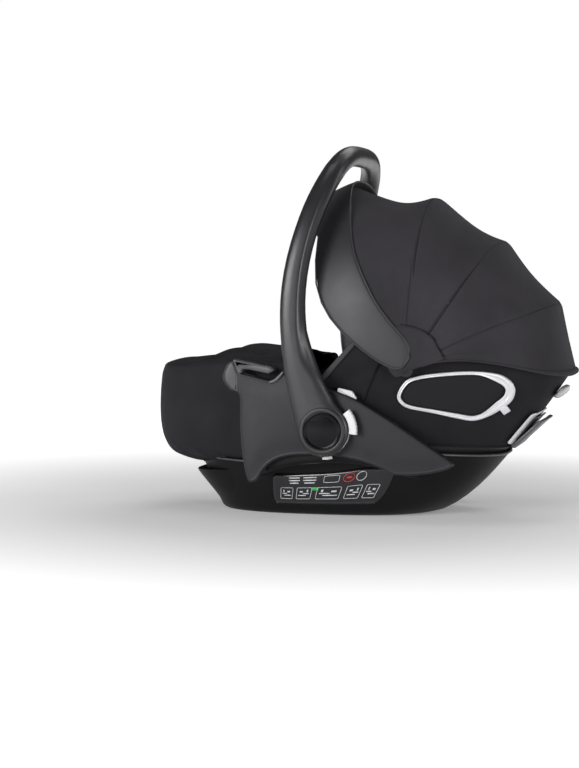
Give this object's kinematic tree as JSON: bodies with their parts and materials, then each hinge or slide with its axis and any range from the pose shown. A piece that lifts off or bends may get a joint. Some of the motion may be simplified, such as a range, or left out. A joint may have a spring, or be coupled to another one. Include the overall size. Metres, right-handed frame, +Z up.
{
  "type": "infant car seat",
  "caption": "Rear-facing infant carrier: bucket shell on a rocker base, swinging carrying handle, folding hooded canopy, padded foot cover, belt guides and a buckled harness.",
  "frame": {"origin": "centre of the seat's footprint, on the floor under the rocker base", "axes": "+X towards the head end, +Y to the infant's right side, +Z up"},
  "size_m": [0.6796, 0.444, 0.594],
  "materials": {
    "shell_plastic": "fine moulded grain",
    "foam": "expanded foam",
    "liner_fabric": "soft knit",
    "insert_fabric": "quilted knit",
    "steel": "zinc plated",
    "label_gloss": "gloss film",
    "grey_plastic": "satin moulded",
    "black_fabric": "stretch jersey",
    "silver_plastic": "silver lacquer",
    "white_plastic": "satin",
    "vent_mesh": "spacer mesh",
    "canopy_fabric": "stretch jersey",
    "webbing": "woven",
    "gloss_black": "polished",
    "handle_plastic": "satin moulded",
    "grip_rubber": "soft touch",
    "visor_leatherette": "smooth coated",
    "light_grey_plastic": "satin",
    "red_plastic": "polished"
  },
  "bodies": {
    "seat": {"shell": "shell_plastic", "foam_core": "foam", "seat_pad": "liner_fabric", "newborn_insert": "insert_fabric", "head_support": "insert_fabric", "rocker_base": "shell_plastic", "base_screws": "steel", "label_panel_left": "label_gloss", "label_panel_right": "label_gloss", "wing_left": "grey_plastic", "wing_right": "grey_plastic", "head_cover": "black_fabric", "foot_cover": "black_fabric", "rear_frame": "silver_plastic", "rear_belt_hook": "grey_plastic", "pivot_pins": "steel", "lock_ring_left": "white_plastic", "lock_ring_right": "white_plastic", "vent_frame_left": "silver_plastic", "vent_frame_right": "silver_plastic", "vent_grille_left": "vent_mesh", "vent_grille_right": "vent_mesh", "adapter_latches": "steel", "canopy_pins": "steel", "canopy_rear_bow": "shell_plastic", "canopy_panel_rear": "canopy_fabric", "shoulder_strap_left": "webbing", "shoulder_strap_right": "webbing", "shoulder_pads": "insert_fabric", "crotch_strap": "webbing", "buckle_body": "gloss_black", "buckle_tongues": "steel", "adjuster_housing": "gloss_black", "adjuster_strap": "webbing"},
    "handle": {"handle_outer_left": "handle_plastic", "handle_inner_left": "handle_plastic", "handle_outer_right": "handle_plastic", "handle_inner_right": "handle_plastic", "handle_grip": "grip_rubber", "hub_left": "handle_plastic", "hub_right": "handle_plastic", "hub_caps": "gloss_black", "lock_springs": "steel"},
    "release_left": {"release_button_left": "white_plastic"},
    "release_right": {"release_button_right": "white_plastic"},
    "bow_3": {"canopy_bow_3": "shell_plastic", "canopy_panel_3": "canopy_fabric"},
    "bow_2": {"canopy_bow_2": "shell_plastic", "canopy_panel_2": "canopy_fabric"},
    "bow_1": {"canopy_bow_1": "shell_plastic", "canopy_panel_1": "canopy_fabric"},
    "front": {"canopy_front_bow": "shell_plastic", "visor": "visor_leatherette"},
    "vent_left": {"vent_tab_left": "silver_plastic"},
    "vent_right": {"vent_tab_right": "silver_plastic"},
    "rear_lever": {"rear_release_lever": "light_grey_plastic"},
    "memory_left": {"memory_button_left": "white_plastic"},
    "memory_right": {"memory_button_right": "white_plastic"},
    "buckle_press": {"buckle_button": "red_plastic"},
    "adjuster_press": {"adjuster_button": "grey_plastic"}
  },
  "joints": [
    {"name": "handle_tilt", "type": "hinge", "parent": "seat", "child": "handle", "pos_m": [-0.026, 0, 0.144], "axis": [0, 1, 0], "range_deg": [0, 105]},
    {"name": "canopy_fold", "type": "hinge", "parent": "seat", "child": "bow_3", "pos_m": [0.101, 0, 0.238], "axis": [0, 1, 0], "range_deg": [0, 18.5], "deforming": ["canopy_panel_rear"]},
    {"name": "bow_2_fold", "type": "hinge", "parent": "bow_3", "child": "bow_2", "pos_m": [0.101, 0, 0.238], "axis": [0, 1, 0], "range_deg": [0, 23.5], "deforming": ["canopy_panel_3"]},
    {"name": "bow_1_fold", "type": "hinge", "parent": "bow_2", "child": "bow_1", "pos_m": [0.101, 0, 0.238], "axis": [0, 1, 0], "range_deg": [0, 20.5], "deforming": ["canopy_panel_2"]},
    {"name": "front_fold", "type": "hinge", "parent": "bow_1", "child": "front", "pos_m": [0.101, 0, 0.238], "axis": [0, 1, 0], "range_deg": [0, 16.5], "deforming": ["canopy_panel_1"]},
    {"name": "release_left_press", "type": "slide", "parent": "handle", "child": "release_left", "axis": [-0.9563, 0, -0.2924], "range_m": [0, 0.0045], "stiffness_N_per_m": 600},
    {"name": "release_right_press", "type": "slide", "parent": "handle", "child": "release_right", "axis": [-0.9563, 0, -0.2924], "range_m": [0, 0.0045], "stiffness_N_per_m": 600},
    {"name": "vent_left_slide", "type": "slide", "parent": "seat", "child": "vent_left", "axis": [-0.8108, -0.2707, -0.5189], "range_m": [0, 0.012]},
    {"name": "vent_right_slide", "type": "slide", "parent": "seat", "child": "vent_right", "axis": [-0.8108, 0.2707, -0.5189], "range_m": [0, 0.012]},
    {"name": "rear_lever_pull", "type": "slide", "parent": "seat", "child": "rear_lever", "axis": [0.5501, 0, 0.8351], "range_m": [0, 0.01], "stiffness_N_per_m": 600},
    {"name": "memory_left_pull", "type": "slide", "parent": "seat", "child": "memory_left", "axis": [-1, 0, 0], "range_m": [0, 0.006], "stiffness_N_per_m": 600},
    {"name": "memory_right_pull", "type": "slide", "parent": "seat", "child": "memory_right", "axis": [-1, 0, 0], "range_m": [0, 0.006], "stiffness_N_per_m": 600},
    {"name": "buckle_press", "type": "slide", "parent": "seat", "child": "buckle_press", "axis": [0, 0, -1], "range_m": [0, 0.003], "stiffness_N_per_m": 600},
    {"name": "adjuster_press", "type": "slide", "parent": "seat", "child": "adjuster_press", "axis": [-0.5592, 0, -0.829], "range_m": [0, 0.002], "stiffness_N_per_m": 600}
  ],
  "couplings": [
    {"joint": "bow_2_fold", "follows": "canopy_fold", "ratio": 1.2702},
    {"joint": "bow_1_fold", "follows": "canopy_fold", "ratio": 1.108},
    {"joint": "front_fold", "follows": "canopy_fold", "ratio": 0.8918}
  ]
}
